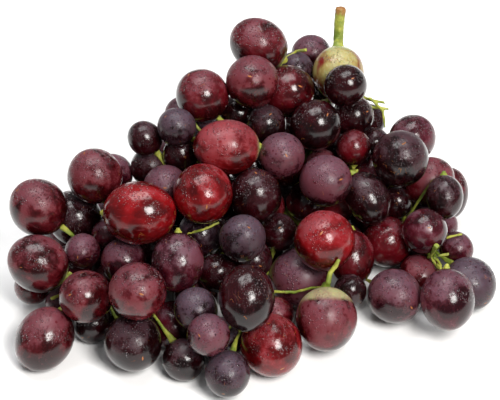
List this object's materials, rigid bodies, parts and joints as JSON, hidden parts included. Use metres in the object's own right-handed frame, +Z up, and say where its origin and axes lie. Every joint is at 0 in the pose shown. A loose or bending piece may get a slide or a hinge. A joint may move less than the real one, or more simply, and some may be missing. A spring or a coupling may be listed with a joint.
{
  "type": "bunch of grapes",
  "caption": "Bunch of red and black table grapes lying on its side, with a green branched stalk that stands out at the back.",
  "frame": {"origin": "on the surface the bunch lies on, under the middle of its bounding box", "axes": "+Z up from the surface, -Y towards the show face of the bunch, +X to its right, across the two shoulders"},
  "size_m": [0.2244, 0.1882, 0.0994],
  "materials": {
    "skin_ruby": "bright translucent red skin, glossy, with little bloom",
    "skin_garnet": "deep red skin, half glossy under a thin bloom",
    "skin_plum": "red-violet skin with a dusty pink-grey bloom",
    "skin_midnight": "nearly black skin, glossy where the bloom is rubbed off",
    "skin_dusk": "dark skin under a blue-grey bloom",
    "skin_blush": "pale green skin blushed with red",
    "skin_inner": "dark skin of the inner berries",
    "stalk_green": "fresh yellow-green stalk, browned at its cut end"
  },
  "bodies": {
    "root": {"crown_berry_1": "skin_garnet", "crown_berry_2": "skin_garnet", "crown_berry_3": "skin_garnet", "crown_berry_4": "skin_blush", "crown_berry_5": "skin_midnight", "crown_berry_6": "skin_midnight", "crown_berry_7": "skin_midnight", "crown_berry_8": "skin_midnight", "left_brow_berry_1": "skin_garnet", "left_brow_berry_2": "skin_dusk", "left_brow_berry_3": "skin_midnight", "left_brow_berry_4": "skin_midnight", "left_brow_berry_5": "skin_midnight", "left_brow_berry_6": "skin_plum", "left_brow_berry_7": "skin_garnet", "left_shoulder_berry_1": "skin_garnet", "left_shoulder_berry_2": "skin_midnight", "left_shoulder_berry_3": "skin_garnet", "left_shoulder_berry_4": "skin_plum", "left_shoulder_berry_5": "skin_plum", "heart_berry_1": "skin_ruby", "heart_berry_2": "skin_ruby", "heart_berry_3": "skin_ruby", "heart_berry_4": "skin_plum", "heart_berry_5": "skin_midnight", "heart_berry_6": "skin_plum", "heart_berry_7": "skin_dusk", "heart_berry_8": "skin_plum", "heart_berry_9": "skin_ruby", "left_fall_berry_1": "skin_garnet", "left_fall_berry_2": "skin_garnet", "left_fall_berry_3": "skin_garnet", "left_fall_berry_4": "skin_midnight", "left_fall_berry_5": "skin_midnight", "foot_berry_1": "skin_dusk", "foot_berry_2": "skin_plum", "foot_berry_3": "skin_midnight", "foot_berry_4": "skin_dusk", "foot_berry_5": "skin_midnight", "foot_berry_6": "skin_ruby", "foot_berry_7": "skin_garnet", "right_shoulder_berry_1": "skin_plum", "right_shoulder_berry_2": "skin_midnight", "right_shoulder_berry_3": "skin_garnet", "right_shoulder_berry_4": "skin_midnight", "right_shoulder_berry_5": "skin_midnight", "right_shoulder_berry_6": "skin_plum", "right_shoulder_berry_7": "skin_plum", "right_shoulder_berry_8": "skin_garnet", "right_fall_berry_1": "skin_garnet", "right_fall_berry_2": "skin_plum", "right_fall_berry_3": "skin_plum", "right_fall_berry_4": "skin_dusk", "inner_sprig_1": "skin_inner", "inner_sprig_2": "skin_inner", "inner_sprig_3": "skin_inner", "inner_sprig_4": "skin_inner", "inner_sprig_5": "skin_inner", "stalk": "stalk_green"}
  },
  "joints": []
}
